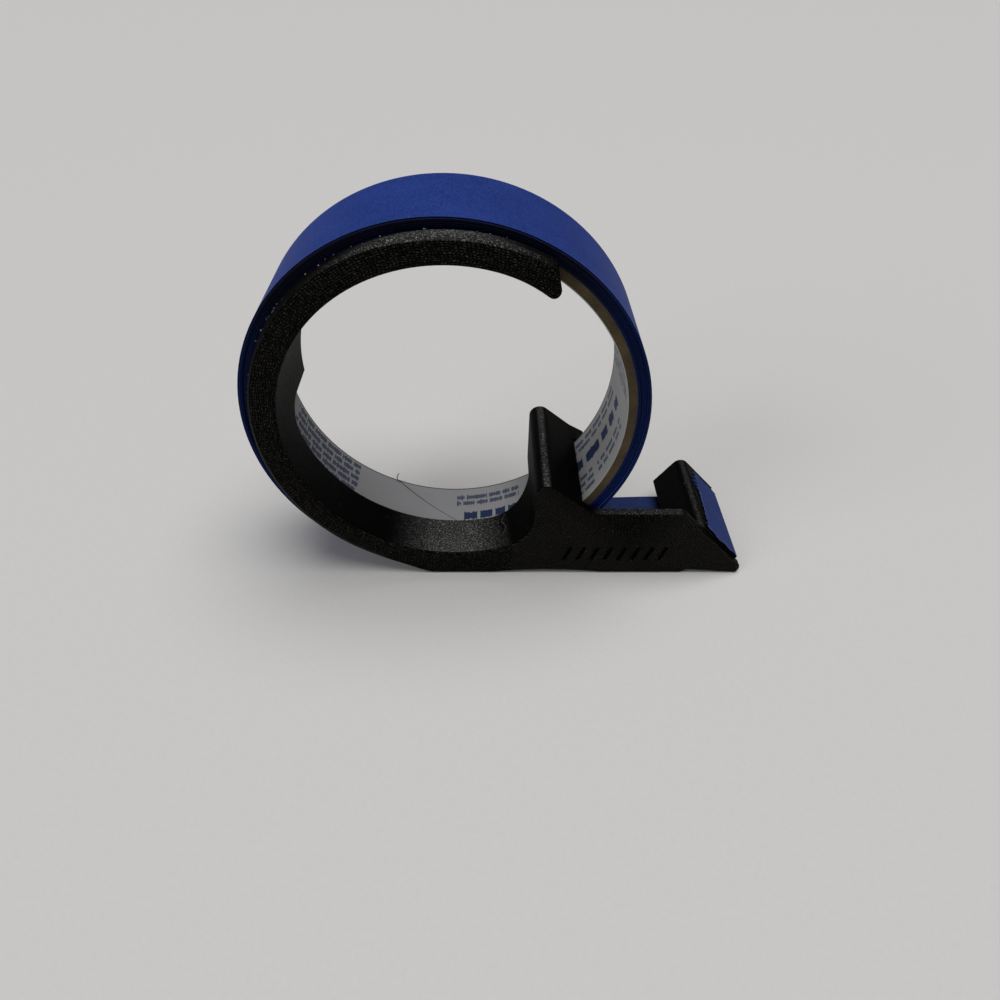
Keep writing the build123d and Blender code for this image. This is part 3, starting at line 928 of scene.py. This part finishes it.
tape = grow(wound_tape(), "wound_tape", {
    "Inner Radius": core_outer, "Outer Radius": tape_outer, "Turns": tape_turns,
    "Width": tape_width - 0.55 * mm, "Side Drift": 0.12 * mm, "Outer Step": 0.4 * mm,
    "Seed": 3.0, "Face": tape_face, "Edge": tape_edge})
stand_up = (Matrix.Translation(roll_middle + Vector((0, (tape_low.y + tape_high.y) / 2, 0)))
            @ Matrix.Rotation(math.pi / 2, 4, "Y") @ Matrix.Rotation(math.pi / 2, 4, "X"))
tape.data.transform(stand_up)
smooth(tape, 40)
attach(tape, "roll")
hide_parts("tape_winding")

# The free strip: the tape's own end, drawn off the bottom of the roll with its glue upwards.
# It runs under the nose bar, folds up over the teeth and sticks to the sloping face, where
# it was torn off in a zigzag. Its front edge has lifted in places.
strip_low, strip_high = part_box("tape_lead")
strip_thick = 0.13 * mm
nose_slope = math.radians(46.2)
teeth = roll_middle + Vector((70.15 * mm, 0, -39.85 * mm))
fold_run = 1.35 * mm
fold_radius = 0.6 * mm
stuck_length = 11.8 * mm
face_length = 13 * mm
torn_tips = 14
frayed_tips = [1, -4, -3, -2, -1]
strip_columns = 6 * torn_tips


def strip_path():
    """Middle line of the strip as points in the side view: a little way round the roll,
    straight to the fold, round the fold, and up the sloping face."""
    on_roll, straight, in_fold, on_face = 6, 46, 13, 19
    down = Vector((math.cos(nose_slope), -math.sin(nose_slope)))
    out = Vector((math.sin(nose_slope), math.cos(nose_slope)))
    toe = Vector((teeth.x, teeth.z)) + out * (strip_thick / 2 + 0.02 * mm)
    corner = toe + down * fold_run
    end = toe - down * stuck_length
    axis = Vector((roll_middle.x, roll_middle.z))
    reach = tape_outer + strip_thick / 2 - 0.03 * mm
    offset = corner - axis
    angle = math.atan2(offset.y, offset.x) - math.acos(reach / offset.length)
    points = []
    for share in np.linspace(0, 1, on_roll):
        turn = -math.pi / 2 + (angle + math.pi / 2) * share
        points.append(axis + reach * Vector((math.cos(turn), math.sin(turn))))
    first = points[-1]
    run = (corner - first).normalized()
    half_turn = math.acos(max(-1, min(1, run.dot(-down)))) / 2
    cut = fold_radius * math.tan(half_turn)
    bend_start, bend_end = corner - run * cut, corner - down * cut
    for share in np.linspace(0, 1, straight)[1:]:
        points.append(first.lerp(bend_start, share))
    normal = Vector((-run.y, run.x))
    middle = bend_start + normal * fold_radius
    for share in np.linspace(0, 1, in_fold)[1:]:
        turn = 2 * half_turn * share
        away = -normal * math.cos(turn) + run * math.sin(turn)
        points.append(middle + away * fold_radius)
    for share in np.linspace(0, 1, on_face)[1:]:
        points.append(bend_end.lerp(end, share))
    return points


def strip_faces(wide, length):
    """Faces of a closed strip: its grid of points comes once for the upper side and once
    for the lower. Each face comes with its material slot: plain, glue or torn edge."""
    plain, glue, torn = 0, 1, 2
    offset = wide * length
    made = []
    for row in range(length - 1):
        for a in range(row * wide, row * wide + wide - 1):
            made.append(((a, a + 1, a + wide + 1, a + wide), glue))
            made.append(((offset + a, offset + a + wide, offset + a + wide + 1,
                          offset + a + 1), plain))
        for a, order in ((row * wide, 1), (row * wide + wide - 1, -1)):
            made.append(((a, a + wide, offset + a + wide, offset + a)[::order], torn))
    for first, order in ((0, -1), ((length - 1) * wide, 1)):
        for a in range(first, first + wide - 1):
            made.append(((a, a + 1, offset + a + 1, offset + a)[::order], torn))
    return made


def strip_mesh():
    """Closed strip with a zigzag end, a gentle wave and a lifted front edge. A few of the
    tips are frayed: long and thin slivers that lean to the front."""
    line = strip_path()
    lengths = [0.0]
    for before, after in zip(line, line[1:]):
        lengths.append(lengths[-1] + (after - before).length)
    total = lengths[-1]
    stuck_from = total - stuck_length
    width = strip_high.y - strip_low.y
    rng = np.random.default_rng(5)
    tips = 0.5 + 0.9 * rng.random(torn_tips)
    leans = 0.35 + 0.3 * rng.random(torn_tips)
    tips[frayed_tips] = (1.9, 2.9, 3.4, 3.3, 2.2)
    leans[frayed_tips] = 0.5
    frayed_from = 1.5

    def torn_edge(share):
        """Length of the tip at this share of the width, and how much of it is reached."""
        index = min(torn_tips - 1, int(share * torn_tips))
        inside, peak = share * torn_tips - index, leans[index]
        rise = inside / peak if inside < peak else (1 - inside) / (1 - peak)
        return tips[index], rise ** 1.8 if tips[index] > frayed_from else rise

    def lift_off(along, share, tip, rise):
        """How far the stuck paper stands off at its front edge and at its torn end."""
        near_front = max(0.0, 1 - share * width / (2.2 * mm))
        near_end = max(0.0, 1 - (stuck_length - along) / (1.8 * mm))
        ripple = 0.22 + 0.14 * math.sin(along / mm * 1.25 + 0.6)
        lift = near_front ** 2 * mm * ripple * min(1, along / (2 * mm))
        return max(lift, near_end ** 2 * (0.14 + 0.05 * tip * rise) * mm)

    upper, lower = [], []
    for index, point in enumerate(line):
        before, after = line[max(0, index - 1)], line[min(len(line) - 1, index + 1)]
        run = (after - before).normalized()
        normal = Vector((-run.y, run.x))
        done = lengths[index]
        along = done - stuck_from
        to_end = max(0.0, along / stuck_length) ** 3
        calm = min(1.0, done / (8 * mm), max(0.0, -along) / (5 * mm))
        drift = 0.35 - 0.75 * max(0.0, done - 0.2 * total) / (0.6 * total)
        drift = max(-0.4, drift) * min(1.0, done / (8 * mm))
        for column in range(strip_columns + 1):
            share = column / strip_columns
            tip, rise = torn_edge(share)
            shift = (rise * tip - 0.2 - 1.9 * share) * mm * to_end
            lift = lift_off(along, share, tip, rise) if along > 0 else 0.0
            wave = 0.05 * mm * math.sin(done / mm * 0.42 + 2.2 * share)
            sink = max(0.0, along + shift - face_length) ** 2 / (7 * mm)
            spot = point + run * shift - normal * (lift - sink + wave * calm)
            aside = drift
            if along > 0:
                aside -= 0.55 * (1 - share) ** 6 * math.sin(math.pi * along / stuck_length)
            if tip > frayed_from:
                aside -= 0.58 * rise * tip * to_end
            depth = strip_low.y + share * width + aside * mm
            for side, places in ((0.5, upper), (-0.5, lower)):
                flat = spot + normal * side * strip_thick
                places.append((flat.x, depth, flat.y))
    faces, slots = zip(*strip_faces(strip_columns + 1, len(line)))
    mesh = bpy.data.meshes.new("free_strip")
    mesh.from_pydata(upper + lower, [], faces)
    for material in (shaded_strip_tape, tape_glue, tape_torn):
        mesh.materials.append(material)
    mesh.polygons.foreach_set("material_index", slots)
    face_outwards(mesh)
    return mesh


strip = add_object("free_strip", strip_mesh())
smooth(strip, 50)
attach(strip, "frame")
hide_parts("tape_lead")

# The surroundings: a pale plain floor under soft light from above, seen from the place where
# the photograph was taken.
floor_color = (0.625, 0.615, 0.60)
camera_place = Vector((-5.623, -145.778, 135.076)) * mm
camera_yaw, camera_pitch, camera_roll = 0.025, -0.71027, 0.0178
focal_length = 27.19

floor_mesh = bpy.data.meshes.new("floor")
edge = 4.0
floor_mesh.from_pydata([(-edge, -edge, 0), (edge, -edge, 0), (edge, edge, 0), (-edge, edge, 0)],
                       [], [(0, 1, 2, 3)])
floor = add_object("floor", floor_mesh)
material, tree, shader, place = start_material("pale_floor")
mottled = blend_colors(tree, noise(tree, place, 900.0, 3.0)[0],
                       [0.97 * c for c in floor_color], [1.03 * c for c in floor_color])
feed(tree, shader, {"Base Color": mottled, "Roughness": 0.8, "Specular IOR Level": 0.1})
floor_mesh.materials.append(material)

world = bpy.data.worlds.new("soft room")
bpy.context.scene.world = world
world.use_nodes = True
feed(world.node_tree, world.node_tree.nodes["Background"],
     {"Color": (0.93, 0.95, 1.0, 1), "Strength": 0.08})

for name, direction, spread, strength in (
        ("ceiling light", (0.10, 0.0, 1.0), 52, 2.3),
        ("window light", (-0.8, -0.5, 0.5), 35, 0.75)):
    light = bpy.data.lights.new(name, "SUN")
    light.angle = math.radians(spread)
    light.energy = strength
    lamp = add_object(name, light)
    lamp.rotation_mode = "QUATERNION"
    lamp.rotation_quaternion = Vector(direction).to_track_quat("Z", "Y")

forward = Vector((math.sin(camera_yaw) * math.cos(camera_pitch),
                  math.cos(camera_yaw) * math.cos(camera_pitch), math.sin(camera_pitch)))
level = Vector((math.cos(camera_yaw), -math.sin(camera_yaw), 0))
upright = level.cross(forward)
right = math.cos(camera_roll) * level + math.sin(camera_roll) * upright
up = -math.sin(camera_roll) * level + math.cos(camera_roll) * upright
camera = add_object("camera", bpy.data.cameras.new("camera"))
camera.data.sensor_width = 36.0
camera.data.lens = focal_length
camera.data.clip_start = 0.01
camera.matrix_world = Matrix((
    (right.x, up.x, -forward.x, camera_place.x), (right.y, up.y, -forward.y, camera_place.y),
    (right.z, up.z, -forward.z, camera_place.z), (0, 0, 0, 1)))
bpy.context.scene.camera = camera
bpy.context.scene.view_settings.view_transform = "Standard"
